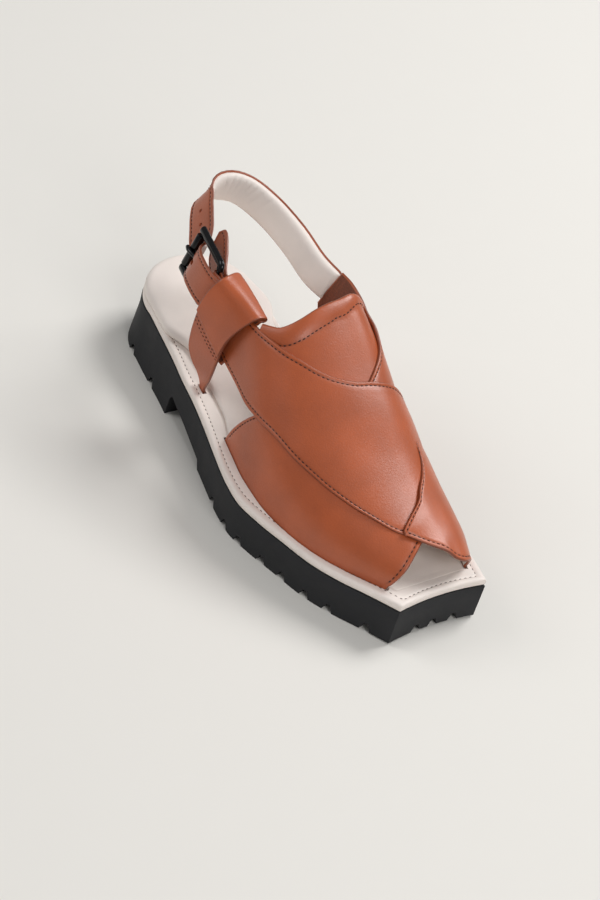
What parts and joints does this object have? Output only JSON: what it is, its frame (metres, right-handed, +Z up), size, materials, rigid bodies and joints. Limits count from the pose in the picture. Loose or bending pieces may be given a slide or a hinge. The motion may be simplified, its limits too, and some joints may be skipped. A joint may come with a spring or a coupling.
{
  "type": "peshawari chappal",
  "caption": "Right peshawari chappal: crossed leather upper, open toe, padded buckled heel strap and lugged rubber sole.",
  "frame": {"origin": "on the floor plane, under the middle of the shoe's bounding box", "axes": "+X to the toe, +Y to the inner side of the foot, +Z up"},
  "size_m": [0.2996, 0.1132, 0.1264],
  "materials": {
    "outsole_rubber": "matt black",
    "board_cover": "smooth cream",
    "footbed_cover": "soft padded cream",
    "upper_leather": "semi-gloss cognac",
    "strap_leather": "semi-gloss cognac, cream lining inside",
    "buckle_metal": "polished gunmetal black"
  },
  "bodies": {
    "root": {"outsole": "outsole_rubber", "insole_board": "board_cover", "footbed": "footbed_cover", "upper": "upper_leather", "back_strap": "strap_leather", "keeper": "upper_leather", "buckle_chape": "strap_leather", "buckle_frame": "buckle_metal", "buckle_roller": "buckle_metal", "buckle_prong": "buckle_metal"}
  },
  "joints": []
}
